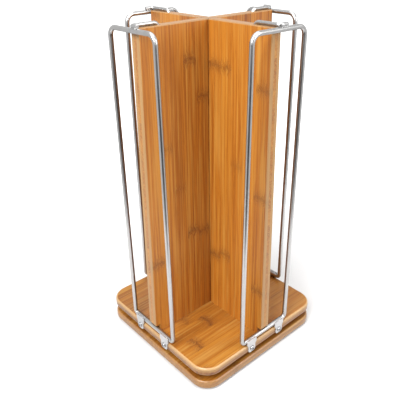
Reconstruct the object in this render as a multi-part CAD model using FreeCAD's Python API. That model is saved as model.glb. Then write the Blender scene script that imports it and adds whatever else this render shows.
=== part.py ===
import FreeCAD, Part

import math
import os

# Revolving bamboo tower for coffee discs, in millimetres.
# The origin is the centre of the footprint on the table, +Z is up, and the boards' sides run along X and Y.
# A base board carries a pressed-steel swivel bearing, and the bearing carries a turntable board.
# Two half-lapped bamboo panels stand on the turntable as a cross, whose four arms part four tall compartments.
# A wire rack at the end of each arm keeps the discs in. Two screwed tabs hold it at the bottom, and at the top
# a bent tongue drops its pin into a hole in the arm.

os.makedirs("parts", exist_ok=True)

Vector = FreeCAD.Vector
UP = Vector(0, 0, 1)

# --- Boards -----------------------------------------------------------------------------------------
board_side = 185.0
base_thickness = 10.0
turntable_thickness = 10.0
board_corner_radius = 21.0
board_edge_radius = 2.5

# --- Rubber feet ------------------------------------------------------------------------------------
foot_diameter = 16.0
foot_height = 2.5
foot_inset = 22.5
foot_edge_radius = 0.8

# --- Cross of two panels ----------------------------------------------------------------------------
panel_height = 347.5
panel_thickness = 12.0
panel_edge_radius = 0.8
arm_inset = 1.0
half_lap_clearance = 0.15
notch_clearance = 2.5
notch_headroom = 1.6

# --- Wire racks -------------------------------------------------------------------------------------
wire_diameter = 5.0
rack_width = 72.0
rack_foot_bend = 4.5
rack_head_bend = 9.0
rack_foot_rise = 2.4
rack_head_gap = 1.2
rack_head_drop = 2.0

# --- Tongue that pins a rack to its arm -------------------------------------------------------------
tongue_diameter = 4.0
tongue_lift = 0.2
tongue_foot_length = 10.0
tongue_corner_bend = 3.5
tongue_pin_bend = 5.0
tongue_pin_setback = 26.8
tongue_pin_depth = 18.0
pin_clearance = 0.15

# --- Screwed tabs under each rack -------------------------------------------------------------------
tab_sheet = 1.2
tab_spacing = 46.0
tab_foot_width = 11.0
tab_head_width = 15.0
tab_head_rise = 7.0
tab_foot_radius = 3.0
tab_head_radius = 1.2
tab_edge_radius = 0.3
tab_foot_lift = 0.2
tab_hole_clearance = 0.15

# --- Screws: shank diameter, length, head diameter, head height ---------------------------------------
# The rounding is a share of the head's height, the chamfer of the shank's diameter, and the drive's span
# of the head's diameter.
tab_screw = (3.0, 14.0, 6.0, 1.7)
bearing_screw = (3.0, 8.0, 6.0, 1.6)
panel_screw = (4.0, 45.0, 8.0, 2.0)
panel_screw_reach = 62.0
head_rounding = 0.6
point_chamfer = 0.3
drive_depth = 0.9
drive_slot = 0.8
drive_span = 0.6

# --- Swivel bearing ---------------------------------------------------------------------------------
bearing_height = 8.0
bearing_side = 76.0
bearing_corner_radius = 4.0
bearing_sheet = 1.2
bearing_hole_spacing = 60.0
ball_diameter = 3.0
ball_circle_radius = 27.0
ball_count = 24
ball_clearance = 0.1
groove_depth = 0.4
hub_radius = 20.0
lip_overlap = 2.2
lip_gap = 0.3
hub_gap = 0.8
race_wall_gap = 2.0
access_hole_diameter = 14.0

# --- Places worked out from the sizes above -----------------------------------------------------------
wire_radius = wire_diameter / 2
board_half = board_side / 2
base_bottom = foot_height
base_top = base_bottom + base_thickness
turntable_bottom = base_top + bearing_height
turntable_top = turntable_bottom + turntable_thickness
panel_top = turntable_top + panel_height
arm_reach = board_half - arm_inset

# The rack's bottom bar lies behind the tabs, and its top bar passes in front of the arm's end.
rack_foot_reach = board_half - wire_radius
rack_foot_z = turntable_top + rack_foot_rise + wire_radius
rack_head_reach = arm_reach + rack_head_gap + wire_radius
rack_head_z = panel_top - rack_head_drop
tongue_radius = tongue_diameter / 2
tongue_z = panel_top + tongue_lift + tongue_radius
tongue_pin_reach = arm_reach - tongue_pin_setback

# A notch in the foot of each arm lets the bottom bar through.
notch_depth = arm_reach - (rack_foot_reach - wire_radius) + notch_clearance
notch_height = rack_foot_rise + wire_diameter + notch_headroom

# Levels inside the bearing, from the base board's top upwards.
ball_z = base_top + bearing_sheet - groove_depth + ball_diameter / 2
shelf_bottom = ball_z + ball_diameter / 2 - groove_depth
shelf_top = shelf_bottom + bearing_sheet
lip_bottom = shelf_top + lip_gap
hub_wall_radius = hub_radius + bearing_sheet
shelf_radius = hub_wall_radius + hub_gap
race_wall_radius = ball_circle_radius + ball_diameter / 2 + race_wall_gap


def save(shape, node):
    shape.exportStep("parts/" + node + ".step")


def turned(shape, degrees):
    """A copy of the shape turned about the tower's axis."""
    copy = shape.copy()
    copy.rotate(Vector(0, 0, 0), UP, degrees)
    return copy


def cylinder(radius, height, place, direction=UP):
    return Part.makeCylinder(radius, height, place, direction)


def tube(inner_radius, outer_radius, bottom, top):
    """A ring about the tower's axis between two levels."""
    outer = cylinder(outer_radius, top - bottom, Vector(0, 0, bottom))
    inner = cylinder(inner_radius, top - bottom, Vector(0, 0, bottom))
    return outer.cut(inner)


def rounded_square(side, corner_radius, bottom, thickness):
    """An upright square plate with round corners."""
    half = side / 2
    plate = Part.makeBox(side, side, thickness, Vector(-half, -half, bottom))
    upright = [edge for edge in plate.Edges if abs(edge.BoundBox.ZLength - thickness) < 1e-6]
    return plate.makeFillet(corner_radius, upright)


def edges_at_level(shape, level):
    return [edge for edge in shape.Edges if max(abs(v.Z - level) for v in edge.Vertexes) < 1e-6]


def square_corners(spacing, z):
    """The four corners of a square of the given spacing, centred on the axis."""
    half = spacing / 2
    return [Vector(sx * half, sy * half, z) for sx in (-1, 1) for sy in (-1, 1)]


def wire_solid(points, bends, radius, closed=False):
    """A round wire along straight runs between points, with a bend radius at each inner point."""
    count = len(points)
    corners = range(count) if closed else range(1, count - 1)
    starts = {}
    ends = {}
    arcs = {}
    for i in corners:
        before = (points[i - 1] - points[i]).normalize()
        after = (points[(i + 1) % count] - points[i]).normalize()
        half_angle = before.getAngle(after) / 2
        run = bends[i] / math.tan(half_angle)
        inward = (before + after).normalize()
        centre = points[i] + inward * (bends[i] / math.sin(half_angle))
        starts[i] = points[i] + before * run
        ends[i] = points[i] + after * run
        arcs[i] = Part.Arc(starts[i], centre - inward * bends[i], ends[i])
    edges = []
    for i in range(count if closed else count - 1):
        j = (i + 1) % count
        edges.append(Part.makeLine(ends.get(i, points[i]), starts.get(j, points[j])))
        if j in arcs:
            edges.append(arcs[j].toShape())
    first = edges[0]
    heading = first.tangentAt(first.FirstParameter)
    place = first.valueAt(first.FirstParameter)
    section = Part.Wire([Part.makeCircle(radius, place, heading)])
    return Part.Wire(edges).makePipeShell([section], True, False)


def cross_recess(head_diameter, top):
    """The cross-shaped drive cut into a screw's head, whose face is at the given level."""
    span = head_diameter * drive_span
    slots = [
        Part.makeBox(span, drive_slot, drive_depth, Vector(-span / 2, -drive_slot / 2, top - drive_depth)),
        Part.makeBox(drive_slot, span, drive_depth, Vector(-drive_slot / 2, -span / 2, top - drive_depth)),
    ]
    return slots[0].fuse(slots[1])


def pan_screw(size):
    """A pan-head screw standing on its shank along +Z, with its seat at the origin."""
    shank_diameter, length, head_diameter, head_height = size
    head = cylinder(head_diameter / 2, head_height, Vector(0, 0, 0))
    head = head.makeFillet(head_height * head_rounding, edges_at_level(head, head_height))
    shank = cylinder(shank_diameter / 2, length, Vector(0, 0, -length))
    shank = shank.makeChamfer(shank_diameter * point_chamfer, edges_at_level(shank, -length))
    return head.fuse(shank).removeSplitter().cut(cross_recess(head_diameter, head_height))


def countersunk_blank(size):
    """A countersunk screw with no drive, along +Z, with the flat of its head at the origin."""
    shank_diameter, length, head_diameter, head_height = size
    head = Part.makeCone(shank_diameter / 2, head_diameter / 2, head_height, Vector(0, 0, -head_height))
    shank = cylinder(shank_diameter / 2, length - head_height, Vector(0, 0, -length))
    shank = shank.makeChamfer(shank_diameter * point_chamfer, edges_at_level(shank, -length))
    return head.fuse(shank).removeSplitter()


def aimed(shape, place, direction):
    """The shape with its +Z turned to a direction and its origin moved to a place."""
    copy = shape.copy()
    copy.Placement = FreeCAD.Placement(place, FreeCAD.Rotation(UP, direction))
    return copy


# --- Boards and feet ----------------------------------------------------------------------------------
def board(bottom, thickness):
    plate = rounded_square(board_side, board_corner_radius, bottom, thickness)
    rims = edges_at_level(plate, bottom) + edges_at_level(plate, bottom + thickness)
    return plate.makeFillet(board_edge_radius, rims)


def bearing_screw_places(z):
    return square_corners(bearing_hole_spacing, z)


def base_board():
    shape = board(base_bottom, base_thickness)
    shank_radius = bearing_screw[0] / 2
    pilot_depth = bearing_screw[1] - bearing_sheet
    for place in bearing_screw_places(base_top - pilot_depth):
        shape = shape.cut(cylinder(shank_radius, pilot_depth, place))
    # The upper bearing screws are driven through this hole while the turntable stands at 45 degrees.
    access_reach = bearing_hole_spacing / math.sqrt(2)
    return shape.cut(cylinder(access_hole_diameter / 2, base_thickness, Vector(access_reach, 0, base_bottom)))


def foot(place):
    shape = cylinder(foot_diameter / 2, foot_height, place)
    return shape.makeFillet(foot_edge_radius, edges_at_level(shape, place.z))


def turntable_board():
    shape = board(turntable_bottom, turntable_thickness)
    shank_radius = bearing_screw[0] / 2
    pilot_depth = bearing_screw[1] - bearing_sheet
    for place in bearing_screw_places(turntable_bottom):
        shape = shape.cut(cylinder(shank_radius, pilot_depth, place))
    shape = shape.cut(at_panel_screws(countersunk_blank(panel_screw)))
    for arm in range(4):
        shape = shape.cut(turned(tab_screws(), 90 * arm))
    return shape


# --- Swivel bearing -----------------------------------------------------------------------------------
def ball_groove():
    """The ring that the balls' running grooves are cut with."""
    return Part.makeTorus(ball_circle_radius, ball_diameter / 2 + ball_clearance, Vector(0, 0, ball_z), UP)


def bearing_flange(bottom, opening_radius):
    """A square flange with a round opening and four screw holes."""
    plate = rounded_square(bearing_side, bearing_corner_radius, bottom, bearing_sheet)
    plate = plate.cut(cylinder(opening_radius, bearing_sheet, Vector(0, 0, bottom)))
    for place in bearing_screw_places(bottom):
        plate = plate.cut(cylinder(bearing_screw[0] / 2, bearing_sheet, place))
    return plate


def bearing_lower_plate():
    flange = bearing_flange(base_top, hub_radius)
    hub = tube(hub_radius, hub_wall_radius, base_top, lip_bottom + bearing_sheet)
    lip = tube(hub_radius, hub_wall_radius + hub_gap + lip_overlap, lip_bottom, lip_bottom + bearing_sheet)
    return flange.fuse([hub, lip]).removeSplitter().cut(ball_groove())


def bearing_upper_plate():
    flange = bearing_flange(turntable_bottom - bearing_sheet, race_wall_radius)
    wall = tube(race_wall_radius, race_wall_radius + bearing_sheet, shelf_bottom, turntable_bottom)
    shelf = tube(shelf_radius, race_wall_radius + bearing_sheet, shelf_bottom, shelf_top)
    return flange.fuse([wall, shelf]).removeSplitter().cut(ball_groove())


def bearing_balls():
    ball = Part.makeSphere(ball_diameter / 2, Vector(ball_circle_radius, 0, ball_z))
    return Part.makeCompound([turned(ball, 360 * i / ball_count) for i in range(ball_count)])


def bearing_lower_screws():
    screw = pan_screw(bearing_screw)
    places = bearing_screw_places(base_top + bearing_sheet)
    return Part.makeCompound([aimed(screw, place, UP) for place in places])


def bearing_upper_screws():
    screw = pan_screw(bearing_screw)
    places = bearing_screw_places(turntable_bottom - bearing_sheet)
    return Part.makeCompound([aimed(screw, place, -UP) for place in places])


# --- Cross of two panels --------------------------------------------------------------------------------
def panel_blank():
    """A panel along X with round edges, everywhere but at its foot."""
    corner = Vector(-arm_reach, -panel_thickness / 2, turntable_top)
    blank = Part.makeBox(2 * arm_reach, panel_thickness, panel_height, corner)
    rounded = [edge for edge in blank.Edges if edge.BoundBox.ZMax > turntable_top + 1e-6]
    return blank.makeFillet(panel_edge_radius, rounded)


def foot_notch():
    size = (notch_depth, panel_thickness, notch_height)
    return Part.makeBox(*size, Vector(arm_reach - notch_depth, -panel_thickness / 2, turntable_top))


def half_lap(bottom, top):
    width = panel_thickness + 2 * half_lap_clearance
    return Part.makeBox(width, width, top - bottom, Vector(-width / 2, -width / 2, bottom))


def panel(quarter_turn, lap_bottom, lap_top):
    """A panel with its foot notches, its half of the lap joint, and its pin and screw holes."""
    shape = panel_blank().cut(half_lap(lap_bottom, lap_top))
    for half_turn in (0, 180):
        shape = shape.cut(turned(foot_notch(), half_turn))
        shape = shape.cut(turned(tongue_path(tongue_radius + pin_clearance), half_turn))
    return turned(shape, quarter_turn).cut(at_panel_screws(countersunk_blank(panel_screw)))


def at_panel_screws(shape):
    """A copy of the shape at each long screw, which goes up through the turntable into an arm."""
    aimed_up = aimed(shape, Vector(panel_screw_reach, 0, turntable_bottom), -UP)
    return Part.makeCompound([turned(aimed_up, 90 * arm) for arm in range(4)])


def panel_screws():
    return at_panel_screws(countersunk_blank(panel_screw).cut(cross_recess(panel_screw[2], 0)))


# --- Racks ----------------------------------------------------------------------------------------------
def rack_wire():
    """The closed wire frame in front of the +X arm, which leans out a little towards its top."""
    half = rack_width / 2
    corners = [
        Vector(rack_foot_reach, -half, rack_foot_z),
        Vector(rack_foot_reach, half, rack_foot_z),
        Vector(rack_head_reach, half, rack_head_z),
        Vector(rack_head_reach, -half, rack_head_z),
    ]
    bends = [rack_foot_bend, rack_foot_bend, rack_head_bend, rack_head_bend]
    return wire_solid(corners, bends, wire_radius, closed=True)


def tongue_path(radius):
    """The bent wire from the rack's top bar along the arm and down into it."""
    points = [
        Vector(rack_head_reach, tongue_foot_length, tongue_z),
        Vector(rack_head_reach, 0, tongue_z),
        Vector(tongue_pin_reach, 0, tongue_z),
        Vector(tongue_pin_reach, 0, panel_top - tongue_pin_depth),
    ]
    return wire_solid(points, [0, tongue_corner_bend, tongue_pin_bend, 0], radius)


def rack_tongue():
    """The tongue, sunk into the top bar where the two are welded."""
    return tongue_path(tongue_radius).cut(rack_wire())


def tab_screw_z():
    return (turntable_bottom + turntable_top) / 2


def rack_tab(side):
    """A sheet tab that hangs from the bottom bar and is screwed to the turntable's edge."""
    middle = side * tab_spacing / 2
    bottom = turntable_bottom + tab_foot_lift
    top = turntable_top + tab_head_rise
    outline = [
        Vector(board_half, middle - tab_foot_width / 2, bottom),
        Vector(board_half, middle + tab_foot_width / 2, bottom),
        Vector(board_half, middle + tab_head_width / 2, top),
        Vector(board_half, middle - tab_head_width / 2, top),
    ]
    plate = Part.Face(Part.makePolygon(outline + outline[:1])).extrude(Vector(tab_sheet, 0, 0))
    across = [edge for edge in plate.Edges if abs(edge.BoundBox.XLength - tab_sheet) < 1e-6]
    plate = plate.makeFillet(tab_foot_radius, [e for e in across if e.BoundBox.ZMax < turntable_top])
    across = [edge for edge in plate.Edges if abs(edge.BoundBox.XLength - tab_sheet) < 1e-6]
    plate = plate.makeFillet(tab_head_radius, [e for e in across if e.BoundBox.ZMin > top - tab_head_radius])
    front = [e for e in plate.Edges if e.BoundBox.XMin > board_half + tab_sheet - 1e-6]
    plate = plate.makeFillet(tab_edge_radius, front)
    hole_radius = tab_screw[0] / 2 + tab_hole_clearance
    return plate.cut(cylinder(hole_radius, tab_sheet, Vector(board_half, middle, tab_screw_z()), Vector(1, 0, 0)))


def tab_screws():
    """The two screws of one rack, which share a node."""
    screw = pan_screw(tab_screw)
    seat = board_half + tab_sheet
    places = [Vector(seat, side * tab_spacing / 2, tab_screw_z()) for side in (-1, 1)]
    return Part.makeCompound([aimed(screw, place, Vector(1, 0, 0)) for place in places])


save(base_board(), "base_board")
for number, place in enumerate(square_corners(board_side - 2 * foot_inset, 0), start=1):
    save(foot(place), "foot_%d" % number)

save(bearing_lower_plate(), "bearing_lower_plate")
save(bearing_lower_screws(), "bearing_lower_screws")
save(bearing_balls(), "bearing_balls")
save(bearing_upper_plate(), "bearing_upper_plate")
save(bearing_upper_screws(), "bearing_upper_screws")

# The lap joint's two slots meet half way up, where a small clearance parts them.
lap_middle = turntable_top + panel_height / 2
save(turntable_board(), "turntable_board")
save(panel(0, lap_middle - half_lap_clearance, panel_top), "panel_x")
save(panel(90, turntable_top, lap_middle + half_lap_clearance), "panel_y")
save(panel_screws(), "panel_screws")

for arm in range(4):
    number = arm + 1
    save(turned(rack_wire(), 90 * arm), "rack_wire_%d" % number)
    save(turned(rack_tongue(), 90 * arm), "rack_tongue_%d" % number)
    save(turned(tab_screws(), 90 * arm), "tab_screws_%d" % number)
    for side, letter in ((-1, "a"), (1, "b")):
        save(turned(rack_tab(side), 90 * arm), "rack_tab_%d%s" % (number, letter))
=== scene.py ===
# %% [markdown]
# # A revolving bamboo tower for flat coffee discs
# This lesson dresses the tower's CAD model for a studio picture, piece by piece. The real one is a
# square bamboo base with rubber feet, a swivel bearing, a turntable board, a cross of two bamboo
# panels and four bent wire racks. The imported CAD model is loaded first. It fixes where each piece
# is, and nothing in it is moved. A new piece takes its place and its size from the box of the CAD
# node that it stands for, so that the two can't drift apart.

import math
import random

import bmesh
import bpy
from mathutils import Matrix, Vector


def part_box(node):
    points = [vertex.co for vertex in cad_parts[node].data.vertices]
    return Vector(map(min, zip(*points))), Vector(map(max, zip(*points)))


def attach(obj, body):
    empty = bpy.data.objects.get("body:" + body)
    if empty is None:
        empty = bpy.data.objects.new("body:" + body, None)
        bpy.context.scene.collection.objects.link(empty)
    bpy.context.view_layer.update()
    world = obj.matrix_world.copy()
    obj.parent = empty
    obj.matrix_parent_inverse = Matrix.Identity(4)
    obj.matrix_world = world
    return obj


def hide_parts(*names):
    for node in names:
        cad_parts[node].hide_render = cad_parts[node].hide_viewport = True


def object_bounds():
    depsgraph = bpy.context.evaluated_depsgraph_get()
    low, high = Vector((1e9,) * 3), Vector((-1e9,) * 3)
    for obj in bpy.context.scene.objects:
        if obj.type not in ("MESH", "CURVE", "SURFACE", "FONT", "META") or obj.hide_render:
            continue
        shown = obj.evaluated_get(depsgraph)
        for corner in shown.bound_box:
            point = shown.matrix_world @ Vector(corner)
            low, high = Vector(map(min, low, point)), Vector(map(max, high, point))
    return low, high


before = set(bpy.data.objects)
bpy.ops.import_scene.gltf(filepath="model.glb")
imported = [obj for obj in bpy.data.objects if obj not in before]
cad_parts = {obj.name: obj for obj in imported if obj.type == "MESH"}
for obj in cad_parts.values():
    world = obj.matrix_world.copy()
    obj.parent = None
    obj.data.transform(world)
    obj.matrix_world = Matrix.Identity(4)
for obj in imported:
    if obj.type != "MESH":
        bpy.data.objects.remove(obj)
cad_low, cad_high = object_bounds()
MM = 0.001
ARMS = (1, 2, 3, 4)
print("size in mm:", [round(side / MM, 1) for side in cad_high - cad_low])

# %% [markdown]
# ## From a bmesh to a finished piece
# Every new piece is shaped in a bmesh, which is a mesh that operators can work on. At the end it
# becomes an object that rides on one body of the CAD model, takes its material and hides the node
# that it replaces. Flat faces beside round edges shade wrongly if every corner's normal is a plain
# average, so a Weighted Normal modifier lets the large faces decide. The other way, splitting the
# mesh at each edge, would open its seams.

# %% Helpers that finish a piece
SHARP_ANGLE = math.radians(32)


def object_from(bm, name):
    """Copies a bmesh into a new object of the scene."""
    mesh = bpy.data.meshes.new(name)
    bm.to_mesh(mesh)
    made = bpy.data.objects.new(name, mesh)
    bpy.context.scene.collection.objects.link(made)
    return made


def finish_piece(bm, name, body, replaced, material):
    """Turns a bmesh into a piece that rides on a body and stands for CAD nodes."""
    piece = object_from(bm, name)
    bm.free()
    piece.data.shade_smooth()
    piece.data.set_sharp_from_angle(angle=SHARP_ANGLE)
    piece.data.materials.append(material)
    weighted = piece.modifiers.new("even_shading", "WEIGHTED_NORMAL")
    weighted.keep_sharp = True
    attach(piece, body)
    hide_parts(*replaced)
    print(name, "has", len(piece.data.polygons), "faces")


# %% [markdown]
# ## Blanks, saw cuts and soft edges
# Boards, panels and tabs all start the way a workshop starts them, from a flat blank. It is one
# rectangular face. A saw cut is the bisect operator, which splits every face that a plane crosses.
# When the outline is right, an extrude gives the blank its thickness, and a bevel softens the
# edges. A cube with a Bevel modifier looks simpler, but it can't give its corners and its rims
# different radii, and it has no notches.

# %% Helpers for flat pieces
SAW_TOLERANCE = 1e-7
SAME_PLACE = 1e-6


def turn_about(bm, angle, axis):
    turn = Matrix.Rotation(angle, 3, axis)
    bmesh.ops.rotate(bm, verts=bm.verts, cent=(0, 0, 0), matrix=turn)


def quarter_turns(bm, count):
    """Turns a shape about the tower's axis, from the first arm to another."""
    turn_about(bm, count * math.pi / 2, "Z")


def blank(size, place, tipped_about=None):
    """One rectangular face, which lies level or is tipped upright about X or Y."""
    bm = bmesh.new()
    bmesh.ops.create_grid(bm, x_segments=1, y_segments=1, size=0.5)
    if tipped_about:
        turn_about(bm, math.pi / 2, tipped_about)
    bmesh.ops.scale(bm, verts=bm.verts, vec=size)
    bmesh.ops.translate(bm, verts=bm.verts, vec=place)
    return bm


def saw(bm, place, normal, faces=None):
    """Splits the faces along a plane and leaves both halves in place."""
    cut_faces = bm.faces[:] if faces is None else faces
    edges = {edge for face in cut_faces for edge in face.edges}
    verts = {vert for face in cut_faces for vert in face.verts}
    crossed = cut_faces + list(edges) + list(verts)
    bmesh.ops.bisect_plane(bm, geom=crossed, dist=SAW_TOLERANCE, plane_co=place, plane_no=normal)


def faces_out(bm):
    bmesh.ops.remove_doubles(bm, verts=bm.verts, dist=SAME_PLACE)
    bmesh.ops.recalc_face_normals(bm, faces=bm.faces)


def verts_in(geometry):
    return [part for part in geometry if isinstance(part, bmesh.types.BMVert)]


def thicken(bm, push):
    """Pushes a copy of all faces out, which gives a blank its thickness."""
    raised = bmesh.ops.extrude_face_region(bm, geom=bm.faces[:])
    bmesh.ops.translate(bm, verts=verts_in(raised["geom"]), vec=push)
    faces_out(bm)


def round_corners(bm, corners, radius, segments):
    bmesh.ops.bevel(bm, geom=corners, offset=radius, offset_type="OFFSET", affect="VERTICES",
                    segments=segments, profile=0.5, material=-1)


def soften(bm, edges, radius, segments):
    bmesh.ops.bevel(bm, geom=edges, offset=radius, offset_type="OFFSET", affect="EDGES",
                    segments=segments, profile=0.5, material=-1, clamp_overlap=True)


# %% [markdown]
# ## Drilling
# A drill is a Boolean modifier with a round cutter, applied straight away. A Boolean could make all
# the other cuts too, but a bisect keeps the faces tidy, so the drill is kept for round holes.

# %% Helpers for drilling
BIT_SEGMENTS = 32


def cut_away(bm, cutter):
    """Cuts the cutter's shape out of the bmesh and returns the result as a new bmesh."""
    work = object_from(bm, "temporary")
    tool = object_from(cutter, "temporary")
    boolean = work.modifiers.new("cut", "BOOLEAN")
    boolean.operation = "DIFFERENCE"
    boolean.solver = "EXACT"
    boolean.object = tool
    bpy.context.view_layer.update()
    result = bmesh.new()
    result.from_object(work, bpy.context.evaluated_depsgraph_get())
    for piece in (work, tool):
        mesh = piece.data
        bpy.data.objects.remove(piece)
        bpy.data.meshes.remove(mesh)
    bm.free()
    cutter.free()
    return result


def drill(bm, place, radius, depth):
    """Drills straight down from a place."""
    bit = bmesh.new()
    bmesh.ops.create_cone(bit, cap_ends=True, segments=BIT_SEGMENTS,
                          radius1=radius, radius2=radius, depth=depth)
    bmesh.ops.translate(bit, verts=bit.verts, vec=place - Vector((0, 0, depth / 2)))
    return cut_away(bm, bit)


# %% [markdown]
# ## Building materials out of steps
# A material is a small machine of nodes. A few helpers keep it readable: one adds a node and feeds
# its sockets, one does sums, and one samples a noise that is stretched along the grain. A value
# that is the same all over a surface is set on the shader itself, because an exported model only
# keeps it there.

# %% Helpers for materials
def feed(tree, socket, value):
    """Gives a socket another node's output, or a plain value."""
    if isinstance(value, bpy.types.NodeSocket):
        tree.links.new(value, socket)
    else:
        socket.default_value = value


def step(tree, kind, sockets=None, **settings):
    """Adds a node of a kind, sets it up and feeds its sockets."""
    node = tree.nodes.new("ShaderNode" + kind)
    for name, value in settings.items():
        setattr(node, name, value)
    for name, value in (sockets or {}).items():
        feed(tree, node.inputs[name], value)
    return node


def maths(tree, operation, *values):
    node = step(tree, "Math", operation=operation)
    for socket, value in zip(node.inputs, values):
        feed(tree, socket, value)
    return node.outputs[0]


def attribute(tree, name):
    return step(tree, "Attribute", attribute_name=name).outputs["Vector"]


def parts_of(tree, vector):
    return step(tree, "SeparateXYZ", {"Vector": vector}).outputs[:]


def vector_of(tree, x, y, z):
    return step(tree, "CombineXYZ", {"X": x, "Y": y, "Z": z}).outputs[0]


def stretched(tree, vector, scales):
    return step(tree, "VectorMath", {0: vector, 1: scales}, operation="MULTIPLY").outputs[0]


def noise(tree, vector, seed, detail, roughness):
    """A soft random value around one half. The seed gives each strip its own."""
    sockets = {"Vector": vector, "W": seed, "Scale": 1.0, "Detail": detail, "Roughness": roughness}
    return step(tree, "TexNoise", sockets, noise_dimensions="4D").outputs["Fac"]


def between(tree, value, low, high, to_low=0.0, to_high=1.0):
    """Stretches a value's range to another range, and holds it there."""
    sockets = {"Value": value, "From Min": low, "From Max": high}
    sockets.update({"To Min": to_low, "To Max": to_high})
    return step(tree, "MapRange", sockets, clamp=True).outputs["Result"]


def blend(tree, amount, first, second, mode="MIX"):
    node = step(tree, "Mix", data_type="RGBA", blend_type=mode)
    feed(tree, node.inputs["Factor"], amount)
    feed(tree, node.inputs[6], first)
    feed(tree, node.inputs[7], second)
    return node.outputs[2]


def new_material(name):
    material = bpy.data.materials.new(name)
    material.use_nodes = True
    return material, material.node_tree, material.node_tree.nodes["Principled BSDF"]


def roughen(tree, shader, height, strength, distance):
    """Bumps the shader's surface by a height from 0 to 1."""
    bump = step(tree, "Bump", {"Height": height, "Strength": strength, "Distance": distance})
    feed(tree, shader.inputs["Normal"], bump.outputs["Normal"])


# %% [markdown]
# ## Bamboo and its nodes
# Bamboo board is glued up from flat strips. Each strip has its own tone, its fibres run along it as
# fine dark and light lines, and every hand's breadth or two it crosses a node of the stalk, where
# short dark dashes break up the fibres. One repeating wood texture over the whole board would show
# none of this. So the mesh itself is sawn into strips, and every face carries what the material
# needs to know: the direction of the grain, the strip's tone and seed, and where its nodes are.
# The lengths are in millimetres, which makes the noise scales easy to think about. The first
# question that the material asks is how far away the strip's nearest node is.

# %% Helpers for a strip's nodes
KNOT_ARCH = 0.022
WAVER = 6.0
WAVER_WAVES = 0.25


def distance_to_knot(tree, across, along, centre, seed, first, spacing):
    """Millimetres to the nearest node of a strip, which arches and wavers across it."""
    off_centre = maths(tree, "SUBTRACT", across, centre)
    arch = maths(tree, "MULTIPLY", maths(tree, "MULTIPLY", off_centre, off_centre), KNOT_ARCH)
    waver_place = vector_of(tree, maths(tree, "MULTIPLY", across, WAVER_WAVES), 0.0, 0.0)
    waver = noise(tree, waver_place, seed, 3.0, 0.7)
    waver = maths(tree, "MULTIPLY_ADD", waver, WAVER, -WAVER / 2)
    bent = maths(tree, "ADD", arch, waver)
    shifted = maths(tree, "ADD", maths(tree, "SUBTRACT", along, first), bent)
    return maths(tree, "PINGPONG", shifted, maths(tree, "MULTIPLY", spacing, 0.5))


def bell(tree, distance, reach):
    """One at no distance, and fading to nothing beyond the reach."""
    share = maths(tree, "DIVIDE", distance, reach)
    square = maths(tree, "MULTIPLY", share, share)
    return maths(tree, "EXPONENT", maths(tree, "MULTIPLY", square, -1.0))


# %% [markdown]
# ## Fibres and marks
# Between two nodes a strip is all fibres. Three noises lie over each other, from bands as wide as a
# finger to lines as fine as a hair, and each is stretched thirty to ninety times along the grain.
# Beside a node the fibres swerve, and the dashes and freckles there are the same kind of noise,
# stretched much less. A Wave texture would draw lines too, but all of them equally far apart.

# %% Helpers for the fibres
# Each noise has its waves per millimetre across, through and along, its detail and its roughness.
SWERVES = ((0.22, 0.22, 0.16), 1.0, 0.5)
BROAD_BANDS = ((0.13, 0.13, 0.004), 1.0, 0.5)
MEDIUM_BANDS = ((0.62, 0.62, 0.007), 1.0, 0.5)
FINE_FIBRES = ((1.9, 1.9, 0.022), 3.0, 0.75)
PORES = ((1.4, 1.4, 0.050), 2.0, 0.7)
PALE_FIBRES = ((0.45, 0.45, 0.010), 2.0, 0.5)
DASHES = ((1.50, 1.50, 0.45), 3.0, 0.8)
FRECKLES = ((1.7, 1.7, 1.2), 3.0, 0.8)
BROAD_WEIGHT = 0.42
MEDIUM_WEIGHT = 0.26
FINE_WEIGHT = 0.85
PORE_DEPTH = 0.16
DARKEST_TONE = 0.38
TONE_RANGE = 0.34


def grain_noise(tree, place, seed, kind):
    waves, detail, roughness = kind
    return noise(tree, stretched(tree, place, waves), seed, detail, roughness)


def fibre_shade(tree, place, seed, tone, medium, fine):
    """From dark to pale: the strip's tone with its bands, fibres and pores."""
    broad = grain_noise(tree, place, seed, BROAD_BANDS)
    pores = between(tree, grain_noise(tree, place, seed, PORES), 0.58, 0.68)
    shade = maths(tree, "MULTIPLY_ADD", tone, TONE_RANGE, DARKEST_TONE)
    layers = ((broad, BROAD_WEIGHT), (medium, MEDIUM_WEIGHT), (fine, FINE_WEIGHT))
    for layer, weight in layers:
        shade = maths(tree, "ADD", shade, maths(tree, "MULTIPLY_ADD", layer, weight, -weight / 2))
    return maths(tree, "SUBTRACT", shade, maths(tree, "MULTIPLY", pores, PORE_DEPTH))


def knot_marks(tree, grain, place, seed, line, patch):
    """The dashes round a node and the freckles on its line."""
    dashes = between(tree, grain_noise(tree, place, seed, DASHES), 0.44, 0.60)
    freckles = between(tree, grain_noise(tree, grain, seed, FRECKLES), 0.44, 0.56)
    around = maths(tree, "MULTIPLY", dashes, patch)
    return maths(tree, "MAXIMUM", around, maths(tree, "MULTIPLY", line, freckles))
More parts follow.
